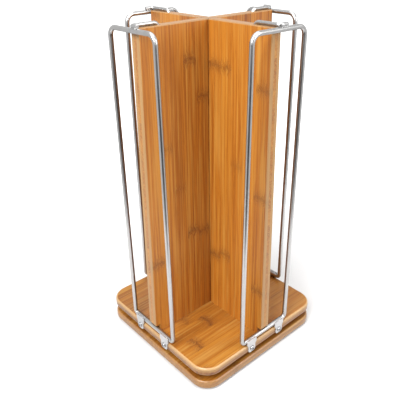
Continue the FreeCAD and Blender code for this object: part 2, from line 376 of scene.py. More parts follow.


# %% [markdown]
# ## The bamboo material
# Now the steps come together. The shade runs through a colour ramp from dark brown to pale straw,
# the nodes are laid over it, and sanded edges show bare wood, which the turntable's top rim makes
# paler still as a painted highlight. A tone lowered below the strip's own is painted shade. The
# lacquer is a thin clear coat. The boards and the panels are two batches of bamboo, so each gets its
# own tint, and the boards have the thicker coat.

# %% Mix the bamboo
BAMBOO_DARK = (0.150, 0.048, 0.008, 1)
BAMBOO_BROWN = (0.300, 0.108, 0.018, 1)
BAMBOO_CARAMEL = (0.450, 0.195, 0.040, 1)
BAMBOO_PALE = (0.560, 0.300, 0.085, 1)
BAMBOO_TAN = (0.560, 0.350, 0.160, 1)
KNOT_BROWN = (0.120, 0.036, 0.008, 1)
SANDED_TAN = (0.440, 0.290, 0.135, 1)
BOARD_TINT = (0.80, 0.69, 0.36, 1)
BOARD_COAT = 0.50
PANEL_TINT = (1.02, 0.80, 0.34, 1)
PANEL_COAT = 0.18
LINE_REACH = 2.2
PATCH_REACH = 7.0
SWERVE = 14.0
MARK_STRENGTH = 0.72


def shade_ramp(tree, shade):
    ramp = step(tree, "ValToRGB", {"Fac": shade})
    stops = ramp.color_ramp.elements
    stops[0].position = 0.08
    stops[0].color = BAMBOO_DARK
    stops[1].position = 0.92
    stops[1].color = BAMBOO_PALE
    for position, colour in ((0.36, BAMBOO_BROWN), (0.62, BAMBOO_CARAMEL)):
        stops.new(position).color = colour
    return ramp.outputs["Color"]


def bamboo(name, tint, coat):
    """Satin lacquered bamboo. The tint multiplies all but the sanded edges."""
    material, tree, shader = new_material(name)
    grain = attribute(tree, "grain")
    across, through, along = parts_of(tree, grain)[:3]
    # The tone is lowered for painted shade on the turntable's lower edge and at the panels' inner
    # corner.
    tone, seed, centre = parts_of(tree, attribute(tree, "strip"))[:3]
    first, spacing, strength = parts_of(tree, attribute(tree, "knots"))[:3]
    sanded, paleness = parts_of(tree, attribute(tree, "sanded"))[:2]

    distance = distance_to_knot(tree, across, along, centre, seed, first, spacing)
    line = maths(tree, "MULTIPLY", bell(tree, distance, LINE_REACH), strength)
    patch = maths(tree, "MULTIPLY", bell(tree, distance, PATCH_REACH), strength)
    swerve = grain_noise(tree, grain, seed, SWERVES)
    swerve = maths(tree, "MULTIPLY_ADD", swerve, SWERVE, -SWERVE / 2)
    swerve = maths(tree, "MULTIPLY", swerve, patch)
    place = vector_of(tree, maths(tree, "ADD", across, swerve), through, along)

    medium = between(tree, grain_noise(tree, place, seed, MEDIUM_BANDS), 0.32, 0.68)
    fine = grain_noise(tree, place, seed, FINE_FIBRES)
    marks = knot_marks(tree, grain, place, seed, line, patch)
    colour = shade_ramp(tree, fibre_shade(tree, place, seed, tone, medium, fine))
    pale = grain_noise(tree, place, maths(tree, "ADD", seed, 7.0), PALE_FIBRES)
    colour = blend(tree, between(tree, pale, 0.48, 0.66, 0.0, 0.60), colour, BAMBOO_TAN)
    colour = blend(tree, 1.0, colour, tint, "MULTIPLY")
    colour = blend(tree, maths(tree, "MULTIPLY", patch, 0.20), colour, BAMBOO_BROWN)
    colour = blend(tree, maths(tree, "MULTIPLY", marks, MARK_STRENGTH), colour, KNOT_BROWN)
    # Sanded edges show bare wood. On the turntable's top rim, the paleness above one is a painted
    # highlight.
    bare = maths(tree, "MULTIPLY", sanded, between(tree, fine, 0.25, 0.75, 0.70, 1.0))
    colour = blend(tree, bare, colour, blend(tree, 1.0, SANDED_TAN, paleness, "MULTIPLY"))
    feed(tree, shader.inputs["Base Color"], colour)

    rough = maths(tree, "MULTIPLY_ADD", fine, 0.16, 0.34)
    rough = maths(tree, "ADD", rough, maths(tree, "MULTIPLY", sanded, 0.10))
    feed(tree, shader.inputs["Roughness"], rough)
    height = maths(tree, "MULTIPLY_ADD", fine, 0.5, maths(tree, "MULTIPLY", medium, 0.2))
    height = maths(tree, "SUBTRACT", height, maths(tree, "MULTIPLY", marks, 0.5))
    roughen(tree, shader, height, 0.35, 0.2 * MM)
    shader.inputs["Coat Weight"].default_value = coat
    shader.inputs["Coat Roughness"].default_value = 0.28
    return material


board_bamboo = bamboo("lacquered_board_bamboo", BOARD_TINT, BOARD_COAT)
panel_bamboo = bamboo("lacquered_panel_bamboo", PANEL_TINT, PANEL_COAT)
print("bamboo's shader steps:", len(board_bamboo.node_tree.nodes))

# %% [markdown]
# ## Laying the grain
# The strips are real saw cuts in the mesh. After the cuts, each face looks up its strip by where
# its middle lies, and takes the strip's tone, seed and nodes. The grain goes on the face's corners,
# as the distance across, through and along the fibres. A Mapping node on the object's coordinates
# would do for one board, but a panel is plywood: its core runs the other way, and only a value on
# the faces can tell the plies apart.

# %% Helpers that lay the grain
X, Y, Z = 0, 1, 2
ALONG_X = Vector((1, 0, 0))
ALONG_Y = Vector((0, 1, 0))
ALONG_Z = Vector((0, 0, 1))


class Strip:
    """One glued strip: its middle across the grain, its tone from 0 to 1, and its nodes."""

    def __init__(self, centre, dice):
        self.centre = centre
        self.tone = dice.random()
        self.seed = dice.uniform(1, 60)
        self.knots = (dice.uniform(-200, 200), dice.uniform(190, 260), dice.uniform(0.3, 1.0))


def strips_between(borders, dice, tones=None, knots=None):
    """A strip for each pair of borders. Known tones and nodes replace the random ones."""
    strips = [Strip((low + high) / 2, dice) for low, high in zip(borders, borders[1:])]
    for number, tone in (tones or {}).items():
        strips[number].tone = tone
    for number, known in (knots or {}).items():
        strips[number].knots = known
    return strips


def saw_strips(bm, borders):
    for border in borders[1:-1]:
        saw(bm, ALONG_X * (border * MM), ALONG_X)


def strip_at(strips, across):
    return min(strips, key=lambda strip: abs(strip.centre - across))


def grain_layers(bm):
    layers = {"grain": bm.loops.layers.float_vector.new("grain")}
    for name in ("strip", "knots", "sanded"):
        layers[name] = bm.faces.layers.float_vector.new(name)
    return layers


def lay_grain(face, layers, strip, axes):
    """Tells a face its strip and which of X, Y and Z run across, through and along its grain."""
    face[layers["strip"]] = (strip.tone, strip.seed, strip.centre)
    face[layers["knots"]] = strip.knots
    for corner in face.loops:
        place = corner.vert.co / MM
        corner[layers["grain"]] = [place[axis] for axis in axes]


# %% [markdown]
# ## The two boards
# The base and the turntable are the same board twice: 10 mm thick, round at its corners, and
# softened all round its rims. The blank's corners are rounded while it is still flat, and the rims
# after it has its thickness. That order gives the corners and the rims two different radii.

# %% Helpers for the boards
CORNER_RADIUS = 21 * MM
CORNER_SEGMENTS = 14
RIM_RADIUS = 2.5 * MM
RIM_SEGMENTS = 5


def board_blank(low, high):
    """A rounded square board that fills a box."""
    size = high - low
    bm = blank((size.x, size.y, 1), (0, 0, low.z))
    round_corners(bm, bm.verts[:], CORNER_RADIUS, CORNER_SEGMENTS)
    thicken(bm, (0, 0, size.z))
    rims = []
    for edge in bm.edges:
        first, second = edge.verts
        if abs(first.co.z - second.co.z) < SAW_TOLERANCE:
            rims.append(edge)
    soften(bm, rims, RIM_RADIUS, RIM_SEGMENTS)
    return bm


# %% [markdown]
# A board's strips run along Y. The edges are sanded after gluing and get less lacquer than the
# faces, so they are paler. The turntable's top rim is the palest line on the tower, bare wood with a
# painted highlight on its rounded edge. The turntable's lower edge is painted darker than the rest,
# a painted shade of the gap between the boards. One more saw cut, at half height, parts the pale
# half of the edge from the painted dark one.

# %% Helpers that finish a board's edges
BOARD_STRIPS = [-92.5, -82.5, -62, -41.5, -21, -0.5, 20, 40.5, 61, 81.5, 92.5]
# How far the tone drops on the turntable's lower edge: painted shade of the gap between the boards.
PAINTED_GAP_SHADE = 0.9
FLAT = 0.98
# The share of bare wood, and how pale it is.
LACQUERED = (0.0, 1.0)
# The top rim's paleness above one is a painted highlight on its rounded edge, over bare wood.
SANDED_TOP_RIM_WITH_HIGHLIGHT = (0.8, 1.25)
TOP_SIDE = (0.35, 1.0)
BASE_SIDE = (0.25, 1.0)
BASE_RIM = (0.3, 1.0)


def sanding(steepness, on_top, in_lower_half):
    """What the sander and the lacquer have left on one face of a board, with a painted highlight on
    the turntable's top rim and painted shade on its lower half.
    """
    # The turntable's lower half gets no bare wood, which is part of its painted shade.
    if abs(steepness) > FLAT or (on_top and in_lower_half):
        return LACQUERED
    if on_top:
        return SANDED_TOP_RIM_WITH_HIGHLIGHT if steepness > 0.1 else TOP_SIDE
    return BASE_SIDE if abs(steepness) < 0.05 else BASE_RIM


def lay_board(bm, seed, on_top, tones=None, knots=None):
    """Saws a board into strips, lays their grain, sands the edges and paints shade on the
    turntable's lower half.
    """
    dice = random.Random(seed)
    top_strips = strips_between(BOARD_STRIPS, dice, tones, knots)
    under_strips = strips_between(BOARD_STRIPS, dice)
    heights = [vert.co.z for vert in bm.verts]
    middle = (min(heights) + max(heights)) / 2
    saw_strips(bm, BOARD_STRIPS)
    saw(bm, ALONG_Z * middle, ALONG_Z)
    layers = grain_layers(bm)
    for face in bm.faces:
        side = under_strips if face.normal.z < -0.5 else top_strips
        centre = face.calc_center_median()
        strip = strip_at(side, centre.x / MM)
        lay_grain(face, layers, strip, (X, Z, Y))
        in_lower_half = centre.z < middle
        # Painted shade of the gap between the boards: the turntable's lower edge takes a darker
        # tone.
        if on_top and in_lower_half and face.normal.z > -FLAT:
            face[layers["strip"]] = (strip.tone - PAINTED_GAP_SHADE, strip.seed, strip.centre)
        face[layers["sanded"]] = (*sanding(face.normal.z, on_top, in_lower_half), 0)


# %% [markdown]
# The base has a hole for a screwdriver, which reaches the bearing's upper screws through it. The
# turntable's strips that show in the front compartment have chosen tones and nodes. All the others
# are left to the dice, whose seeds are fixed so that each run gives the same bamboo.

# %% Build the boards
TOOL_HOLE_REACH = 42.43 * MM
TOOL_HOLE_RADIUS = 7 * MM
TOOL_HOLE_DEPTH = 12 * MM
TURNTABLE_TONES = {5: 0.45, 6: 0.50, 7: 0.55, 8: 0.75, 9: 0.85}
TURNTABLE_KNOTS = {6: (-33, 250, 1.5), 7: (-68, 250, 1.3)}

base_low, base_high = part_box("base_board")
base_shape = board_blank(base_low, base_high)
tool_hole = Vector((TOOL_HOLE_REACH, 0, base_high.z + MM))
base_shape = drill(base_shape, tool_hole, TOOL_HOLE_RADIUS, TOOL_HOLE_DEPTH)
lay_board(base_shape, 11, False)
finish_piece(base_shape, "base", "base", ["base_board"], board_bamboo)

turntable_low, turntable_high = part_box("turntable_board")
turntable_shape = board_blank(turntable_low, turntable_high)
lay_board(turntable_shape, 23, True, TURNTABLE_TONES, TURNTABLE_KNOTS)
finish_piece(turntable_shape, "turntable", "turntable", ["turntable_board"],
             board_bamboo)

# %% [markdown]
# ## The cross of panels
# Each panel is three-ply bamboo. The two outer plies stand upright, and the core lies across them,
# so the panel's ends show a pale, a brown and a pale line. The panel starts as one upright face,
# saw cuts mark the notches at its feet and its half of the lap joint, the waste is deleted, and an
# extrude gives the thickness. A Boolean could cut the notches out of a finished block, but it often
# leaves long thin faces that shade badly.

# %% Helpers that shape a panel
PANEL_EDGE = 0.8 * MM
NOTCH_DEPTH = 6.5 * MM
NOTCH_HEIGHT = 9.0 * MM
LAP_HALF_WIDTH = 6.15 * MM
NEARLY_LEVEL = 0.01


def panel_blank(low, high, slot_from_top):
    """A panel along X with its foot notches and its slot."""
    half_length = high.x
    middle = (low.z + high.z) / 2
    notch_side = half_length - NOTCH_DEPTH
    notch_top = low.z + NOTCH_HEIGHT
    bm = blank((2 * half_length, 1, high.z - low.z), (0, low.y, middle), "X")
    for side in (-1, 1):
        saw(bm, ALONG_X * (side * notch_side), ALONG_X)
        saw(bm, ALONG_X * (side * LAP_HALF_WIDTH), ALONG_X)
    saw(bm, ALONG_Z * notch_top, ALONG_Z)
    saw(bm, ALONG_Z * middle, ALONG_Z)
    waste = []
    for face in bm.faces:
        centre = face.calc_center_median()
        in_notch = abs(centre.x) > notch_side and centre.z < notch_top
        in_slot = abs(centre.x) < LAP_HALF_WIDTH and (centre.z > middle) == slot_from_top
        if in_notch or in_slot:
            waste.append(face)
    bmesh.ops.delete(bm, geom=waste, context="FACES")
    bmesh.ops.dissolve_limit(bm, angle_limit=NEARLY_LEVEL, verts=bm.verts, edges=bm.edges)
    thicken(bm, (0, high.y - low.y, 0))
    return bm


def outer_edges(bm, high):
    """The edges of the panel's ends and top, which are rounded."""
    found = []
    for edge in bm.edges:
        first, second = (vert.co for vert in edge.verts)
        both_at_ends = all(abs(abs(place.x) - high.x) < SAME_PLACE for place in (first, second))
        at_end = both_at_ends and first.x * second.x > 0
        at_top = all(abs(place.z - high.z) < SAME_PLACE for place in (first, second))
        in_slot = max(abs(first.x), abs(second.x)) < LAP_HALF_WIDTH + SAME_PLACE
        if (at_end or at_top) and not in_slot:
            found.append(edge)
    return found


# %% [markdown]
# Two more saw cuts part the plies, and the core gets its own strips, which run level and have no
# nodes. The strip at the lap joint, where the two panels meet, is painted the darkest, a painted
# shade of the inner corner. Cut ends and tops show bare wood, but the end grain of the core soaks up
# the lacquer and stays brown.

# %% Helpers that lay a panel's grain
PLY = 2.0
PANEL_STRIPS = [-91.5, -74, -57, -40, -23, -6.8, 6.8, 23, 40, 57, 74, 91.5]
JOINT_STRIP = 5
# The joint strip's tone: painted shade of the inner corner.
CORNER_SHADE_TONE = -0.6
CORE_LEVELS = [30 + 16.0 * number for number in range(23)]
NO_KNOTS = (0, 1000, 0)
CUT_ENDS = 85
CUT_TOP = 370
CUT_SHARE = 0.75
CORE_END_SHARE = 0.25
TOP_PALENESS = 0.46


def saw_plies(bm):
    """Parts the plies on the narrow faces, and the core's strips on the ends."""
    for side in (-PLY, PLY):
        narrow = [face for face in bm.faces if abs(face.normal.y) < 0.3]
        saw(bm, ALONG_Y * (side * MM), ALONG_Y, narrow)
    for level in CORE_LEVELS:
        ends = [face for face in bm.faces if abs(face.normal.x) > 0.9]
        core = [face for face in ends if abs(face.calc_center_median().y) < PLY * MM]
        saw(bm, ALONG_Z * (level * MM), ALONG_Z, core)


def cut_wood(centre, normal, in_core):
    """How much of a face shows bare wood, and how pale it is."""
    paleness = TOP_PALENESS if normal.z > 0.3 else 1.0
    is_cut = (abs(centre.x) > CUT_ENDS or centre.z > CUT_TOP) and abs(normal.y) < FLAT
    if not is_cut:
        return 0.0, paleness
    if in_core and abs(normal.x) > 0.9:
        return CORE_END_SHARE, paleness
    return CUT_SHARE, paleness


def lay_panel(bm, seed, tones, knots):
    """Saws a panel into strips and plies, and lays their grain."""
    dice = random.Random(seed)
    front = strips_between(PANEL_STRIPS, dice, tones, knots)
    back = strips_between(PANEL_STRIPS, dice)
    core = strips_between(CORE_LEVELS, dice)
    # The strip at the lap joint gets the painted shade of the inner corner.
    for side in (front, back):
        side[JOINT_STRIP].tone = CORNER_SHADE_TONE
    saw_strips(bm, PANEL_STRIPS)
    saw_plies(bm)
    layers = grain_layers(bm)
    for face in bm.faces:
        centre = face.calc_center_median() / MM
        in_core = abs(face.normal.y) < 0.3 and abs(centre.y) < PLY
        if in_core:
            lay_grain(face, layers, strip_at(core, centre.z), (Z, Y, X))
            face[layers["knots"]] = NO_KNOTS
        else:
            side = back if centre.y > 0 else front
            lay_grain(face, layers, strip_at(side, centre.x), (X, Y, Z))
        face[layers["sanded"]] = (*cut_wood(centre, face.normal, in_core), 0)


# %% [markdown]
# The pins of the racks' tongues drop into drilled holes in the top of each arm. The holes are a
# hair wider than the pins, which leaves a thin dark ring round each. The nodes that show most are
# put where a buyer sees them: one strip has its node low down beside the inner corner, another near
# the top. A node is written as its height, the way to the next one, and how strongly it shows.

# %% Build the panels
PIN_REACH = 64.7 * MM
PIN_HOLE_RADIUS = 2.15 * MM
PIN_DEPTH = 18.0 * MM
RIGHT_TONES = {6: 0.60, 7: 0.75, 8: 0.62, 9: 0.70, 10: 0.52}
RIGHT_KNOTS = {
    6: (104, 229, 1.1),
    7: (112, 221, 0.9),
    8: (230, 300, 0.4),
    9: (170, 300, 0.1),
    10: (89, 115, 0.9),
}
FRONT_TONES = {0: 0.76, 1: 0.42, 2: 0.50, 3: 0.40, 4: 0.32}
FRONT_KNOTS = {
    4: (138, 162, 0.9),
    3: (144, 197, 1.0),
    2: (202, 300, 0.4),
    1: (252, 300, 0.5),
    0: (121, 300, 1.0),
}


def build_panel(node, slot_from_top, turns, seed, tones, knots):
    low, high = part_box("panel_x")
    bm = panel_blank(low, high, slot_from_top)
    soften(bm, outer_edges(bm, high), PANEL_EDGE, 3)
    for side in (-1, 1):
        hole = Vector((side * PIN_REACH, 0, high.z + MM))
        bm = drill(bm, hole, PIN_HOLE_RADIUS, PIN_DEPTH + MM)
    lay_panel(bm, seed, tones, knots)
    quarter_turns(bm, turns)
    finish_piece(bm, "cross_" + node, "turntable", [node], panel_bamboo)


build_panel("panel_x", True, 0, 41, RIGHT_TONES, RIGHT_KNOTS)
build_panel("panel_y", False, 1, 57, FRONT_TONES, FRONT_KNOTS)

# %% [markdown]
# ## Bending wire
# A wire bender has two moves: it feeds the wire straight on, and it bends it round a pin. Both are
# operators. The feed is an extrude of the round section's edges, and the bend is a spin of them
# about the pin's centre. A curve with a bevel would give a similar wire, but its bends are Bezier
# handles set by hand, and here each run and each bend radius is a number that a workshop could
# read.

# %% The wire bender
WIRE_SEGMENTS = 20
BEND_STEPS = 7


def edges_in(geometry):
    return [part for part in geometry if isinstance(part, bmesh.types.BMEdge)]


def verts_of(edges):
    return list({vert for edge in edges for vert in edge.verts})


def start_wire(bm, place, heading, radius):
    """The round section that the wire starts from."""
    ring = bmesh.ops.create_circle(bm, cap_ends=False, radius=radius, segments=WIRE_SEGMENTS)
    verts = ring["verts"]
    turn = heading.to_track_quat("Z", "Y").to_matrix()
    bmesh.ops.rotate(bm, verts=verts, cent=(0, 0, 0), matrix=turn)
    bmesh.ops.translate(bm, verts=verts, vec=place)
    return list({edge for vert in verts for edge in vert.link_edges})


def feed_wire(bm, section, place, heading, length):
    out = bmesh.ops.extrude_edge_only(bm, edges=section)["geom"]
    new_verts = set(verts_in(out))
    bmesh.ops.translate(bm, verts=list(new_verts), vec=heading * length)
    section = [edge for edge in edges_in(out) if set(edge.verts) <= new_verts]
    return section, place + heading * length


def bend_wire(bm, section, place, heading, towards, radius):
    """Bends the wire through a right angle, round a pin that stands on one side of it."""
    pin = place + towards * radius
    axis = heading.cross(towards).normalized()
    out = bmesh.ops.spin(bm, geom=verts_of(section) + section, cent=pin, axis=axis,
                         angle=math.pi / 2, steps=BEND_STEPS, use_duplicate=False)
    turn = Matrix.Rotation(math.pi / 2, 3, axis)
    return edges_in(out["geom_last"]), pin + turn @ (place - pin), turn @ heading


def bent_wire(bm, place, heading, radius, moves):
    """Feeds and bends a wire. A move is a length, or a direction and a bend radius."""
    first = start_wire(bm, place, heading, radius)
    section = first
    for move in moves:
        if isinstance(move, tuple):
            section, place, heading = bend_wire(bm, section, place, heading, *move)
        else:
            section, place = feed_wire(bm, section, place, heading, move)
    return first, section


# %% [markdown]
# ## Steel
# The racks are drawn steel wire with a satin plating. Its roughness isn't even: it has faint clouds
# from the bath, and fine specks. A perfectly even metal looks like plastic foil. The tabs are
# blasted sheet, which scatters light more and looks a paler grey. The screws and the bearing are
# bright zinc.

# %% Metal materials
CLOUD_WAVES = (120, 120, 40)
CLOUD_DARKNESS = 0.86
SPECK_HEIGHT = 0.05 * MM


def metal(name, colour, roughness, spread, speck_waves, bump_strength):
    """Bare or plated metal with clouds and specks in its gloss."""
    material, tree, shader = new_material(name)
    place = step(tree, "TexCoord").outputs["Object"]
    clouds = noise(tree, stretched(tree, place, CLOUD_WAVES), 3.0, 3.0, 0.6)
    specks = noise(tree, stretched(tree, place, [speck_waves] * 3), 8.0, 2.0, 0.6)
    rough = maths(tree, "MULTIPLY_ADD", clouds, spread, roughness - spread / 2)
    speckled = maths(tree, "MULTIPLY_ADD", specks, spread * 0.6, -spread * 0.3)
    feed(tree, shader.inputs["Roughness"], maths(tree, "ADD", rough, speckled))
    darker = [channel * CLOUD_DARKNESS for channel in colour] + [1]
    patches = between(tree, clouds, 0.3, 0.7)
    feed(tree, shader.inputs["Base Color"], blend(tree, patches, darker, [*colour, 1]))
    shader.inputs["Metallic"].default_value = 1.0
    roughen(tree, shader, specks, bump_strength, SPECK_HEIGHT)
    return material


satin_wire = metal("satin_plated_wire", (0.47, 0.465, 0.46), 0.30, 0.04, 1800, 0.012)
blasted_sheet = metal("blasted_sheet", (0.58, 0.58, 0.585), 0.46, 0.12, 5000, 0.35)
plated_screw = metal("plated_screw", (0.42, 0.42, 0.43), 0.32, 0.12, 3000, 0.15)
zinc_screw = metal("zinc_screw", (0.60, 0.60, 0.62), 0.32, 0.14, 3000, 0.20)
pressed_zinc = metal("pressed_zinc_sheet", (0.56, 0.57, 0.59), 0.36, 0.18, 1500, 0.25)
ball_steel = metal("polished_ball_steel", (0.78, 0.78, 0.78), 0.08, 0.04, 2000, 0.02)
print("metals:", satin_wire.name, blasted_sheet.name, plated_screw.name, zinc_screw.name)

# %% [markdown]
# ## The four racks
# A rack is one closed frame of 5 mm wire. Its bottom bar stands behind the tabs, its top bar passes
# in front of the arm's end, and its uprights lean out a little towards the top. The wire starts and
# ends in the middle of the bottom bar, where the real one is butt welded. All four are bent where
# the first arm is, and then turned about the tower's axis to their own arms.

# %% Bend the racks
WIRE_RADIUS = 2.5 * MM
FOOT_BEND = 4.5 * MM
HEAD_BEND = 9.0 * MM
ACROSS = ALONG_Y


def rack_shape():
    """The rack of the first arm, which lies on +X."""
    low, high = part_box("rack_wire_1")
    half_width = high.y - WIRE_RADIUS
    foot = Vector((low.x + WIRE_RADIUS, 0, low.z + WIRE_RADIUS))
    head = Vector((high.x - WIRE_RADIUS, 0, high.z - WIRE_RADIUS))
    rise = head - foot
    lean = rise.normalized()
    upright = rise.length - FOOT_BEND - HEAD_BEND
    foot_run = half_width - FOOT_BEND
    head_run = 2 * (half_width - HEAD_BEND)
    bm = bmesh.new()
    bent_wire(bm, foot, ACROSS, WIRE_RADIUS, [
        foot_run, (lean, FOOT_BEND), upright, (-ACROSS, HEAD_BEND), head_run,
        (-lean, HEAD_BEND), upright, (ACROSS, FOOT_BEND), foot_run,
    ])
    faces_out(bm)
    return bm


for arm in ARMS:
    bm = rack_shape()
    quarter_turns(bm, arm - 1)
    node = "rack_wire_%d" % arm
    finish_piece(bm, "wire_rack_%d" % arm, "turntable", [node], satin_wire)

# %% [markdown]
# ## Weld beads
# The tongues and the tabs are welded to the racks. A bead is a small ring that is fed along the
# joint like wire and scaled at each step, thick and thin in turn, as the molten drops leave it. A
# smooth tube would look like glue.

# %% Helpers for welding
BEAD_STEPS = 12
BEAD_TIP = 0.4
BEAD_THICK = 1.0
BEAD_THIN = 0.82


def resize(bm, verts, place, factor):
    bmesh.ops.translate(bm, verts=verts, vec=-place)
    bmesh.ops.scale(bm, verts=verts, vec=(factor, factor, factor))
    bmesh.ops.translate(bm, verts=verts, vec=place)


def bead_width(number):
    if number == BEAD_STEPS:
        return BEAD_TIP
    return BEAD_THICK if number % 2 else BEAD_THIN


def weld_bead(bm, start, end, radius):
    """A rippled bead from start to end."""
    heading = (end - start).normalized()
    stride = (end - start).length / BEAD_STEPS
    section = start_wire(bm, start, heading, radius * BEAD_TIP)
    bmesh.ops.contextual_create(bm, geom=section)
    place = start
    width = BEAD_TIP
    for number in range(1, BEAD_STEPS + 1):
        section, place = feed_wire(bm, section, place, heading, stride)
        resize(bm, verts_of(section), place, bead_width(number) / width)
        width = bead_width(number)
    bmesh.ops.contextual_create(bm, geom=section)


# %% [markdown]
# ## The tongues
# A shorter, thinner wire is welded on to each top bar. It lies along the arm, turns down, and drops
# into the hole in the arm's top, which holds the rack upright. It is bent the same way as the
# racks, but it has two cut ends, and they are capped and deburred.

# %% Bend and weld the tongues
TONGUE_RADIUS = 2.0 * MM
TONGUE_CORNER = 3.5 * MM
TONGUE_PIN_BEND = 5.0 * MM
BURR = 0.35 * MM
TONGUE_BEAD_RADIUS = 0.8 * MM
TONGUE_BEAD_ASIDE = 1.35 * MM
TONGUE_BEAD_UP = 0.05 * MM
TONGUE_BEAD_START = 1.5 * MM
TONGUE_BEAD_END = 9.2 * MM
INWARDS = Vector((-1, 0, 0))
DOWN = Vector((0, 0, -1))


def close_end(bm, section):
    """Caps a cut wire end and takes off its sharp edge."""
    cap = bmesh.ops.contextual_create(bm, geom=section)["faces"]
    soften(bm, [edge for face in cap for edge in face.edges], BURR, 2)


def tongue_shape():
    low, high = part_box("rack_tongue_1")
    start = Vector((high.x - TONGUE_RADIUS, high.y, high.z - TONGUE_RADIUS))
    foot_run = high.y - TONGUE_CORNER
    arm_run = (start.x - (low.x + TONGUE_RADIUS)) - TONGUE_CORNER - TONGUE_PIN_BEND
    pin_run = (start.z - low.z) - TONGUE_PIN_BEND
    bm = bmesh.new()
    first, last = bent_wire(bm, start, -ACROSS, TONGUE_RADIUS, [
        foot_run, (INWARDS, TONGUE_CORNER), arm_run, (DOWN, TONGUE_PIN_BEND), pin_run,
    ])
    close_end(bm, first)
    close_end(bm, last)
    contact = Vector((start.x, 0, start.z - TONGUE_RADIUS))
    for side in (-1, 1):
        middle = contact + Vector((side * TONGUE_BEAD_ASIDE, 0, TONGUE_BEAD_UP))
        weld_bead(bm, middle + ACROSS * TONGUE_BEAD_START, middle + ACROSS * TONGUE_BEAD_END,
                  TONGUE_BEAD_RADIUS)
    faces_out(bm)
    return bm


for arm in ARMS:
    bm = tongue_shape()
    quarter_turns(bm, arm - 1)
    node = "rack_tongue_%d" % arm
    finish_piece(bm, "welded_tongue_%d" % arm, "turntable", [node], satin_wire)

# %% [markdown]
# ## The tabs
# Two tabs of 1.2 mm sheet hang from each bottom bar. A tab has a wide head, which is welded to the
# wire, a shoulder at the board's top, and a narrow round foot with the screw. It starts as one
# upright blank, two saw cuts mark the shoulder, and moving the lower corners inwards draws the
# waist. Then the corners are rounded in the flat, and the sheet gets its thickness and its soft
# front edge.

# %% Build the tabs
TAB_SHEET = 1.2 * MM
TAB_FOOT_WIDTH = 11.0 * MM
TAB_SHOULDER = 1.4 * MM
TAB_FOOT_RADIUS = 3.2 * MM
TAB_WAIST_RADIUS = 0.9 * MM
TAB_HEAD_RADIUS = 1.2 * MM
TAB_EDGE = 0.3 * MM
TAB_BEAD_RADIUS = 0.7 * MM
TAB_BEAD_HALF = 4.5 * MM
TAB_BEAD_BEHIND = 0.55 * MM
TAB_BEAD_BELOW = 0.35 * MM


def tab_outline(low, high):
    """The flat outline of a tab, with its waist and its round corners."""
    middle = (low.y + high.y) / 2
    shoulder_top = turntable_high.z + TAB_SHOULDER
    shoulder_foot = turntable_high.z - TAB_SHOULDER
    size = (1, high.y - low.y, high.z - low.z)
    bm = blank(size, (low.x, middle, (low.z + high.z) / 2), "Y")
    for level in (shoulder_top, shoulder_foot):
        saw(bm, ALONG_Z * level, ALONG_Z)
    for vert in bm.verts:
        side = 1 if vert.co.y > middle else -1
        if vert.co.z < shoulder_top - SAME_PLACE:
            vert.co.y = middle + side * TAB_FOOT_WIDTH / 2
    bmesh.ops.dissolve_faces(bm, faces=bm.faces[:])
    turns = (
        (low.z, TAB_FOOT_RADIUS),
        (shoulder_foot, TAB_WAIST_RADIUS),
        (shoulder_top, TAB_WAIST_RADIUS),
        (high.z, TAB_HEAD_RADIUS),
    )
    for level, radius in turns:
        corners = [vert for vert in bm.verts if abs(vert.co.z - level) < SAME_PLACE]
        round_corners(bm, corners, radius, 5)
    return bm


def tab_shape(node):
    """A tab of the first arm, in the box of its CAD node."""
    low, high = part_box(node)
    bm = tab_outline(low, high)
    thicken(bm, (TAB_SHEET, 0, 0))
    front_x = low.x + TAB_SHEET - SAME_PLACE
    front = [edge for edge in bm.edges if min(vert.co.x for vert in edge.verts) > front_x]
    soften(bm, front, TAB_EDGE, 2)
    middle = (low.y + high.y) / 2
    wire_top = Vector((low.x - TAB_BEAD_BEHIND, middle, high.z - TAB_BEAD_BELOW))
    bead = ACROSS * TAB_BEAD_HALF
    weld_bead(bm, wire_top - bead, wire_top + bead, TAB_BEAD_RADIUS)
    faces_out(bm)
    return bm


for arm in ARMS:
    for letter in "ab":
        bm = tab_shape("rack_tab_1" + letter)
        quarter_turns(bm, arm - 1)
        node = "rack_tab_%d%s" % (arm, letter)
        name = "screw_tab_%d%s" % (arm, letter)
        finish_piece(bm, name, "turntable", [node], blasted_sheet)

# %% [markdown]
# ## Screws, balls and the bearing
# The small screws, the balls and the pressed plates of the swivel bearing already have their true
# shapes in the CAD model, down to the cross in each screw's head. A CAD node whose shape is right
# stays, and only gets a material.

# %% Dress the CAD nodes that stay
def dress(node, material):
    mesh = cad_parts[node].data
    mesh.materials.clear()
    mesh.materials.append(material)
    print(node, "is dressed in", material.name)


for arm in ARMS:
    dress("tab_screws_%d" % arm, plated_screw)
for node in ("bearing_lower_screws", "bearing_upper_screws", "panel_screws"):
    dress(node, zinc_screw)
for node in ("bearing_lower_plate", "bearing_upper_plate"):
    dress(node, pressed_zinc)
dress("bearing_balls", ball_steel)

# %% [markdown]
# ## Rubber feet
# Four black feet keep the base off the table. A foot is a low disc with a soft lower edge and a
# shallow dish under it, which grips. The dish is an inset of the lower face, pushed up a little.
# The rubber is nearly black, dull and finely pitted, with a little dust on it.

# %% Build the feet
RUBBER_BLACK = (0.018, 0.018, 0.018, 1)
RUBBER_DUST = (0.055, 0.052, 0.048, 1)
FOOT_EDGE = 0.8 * MM
DISH_RIM = 2.2 * MM
DISH_DEPTH = 0.5 * MM


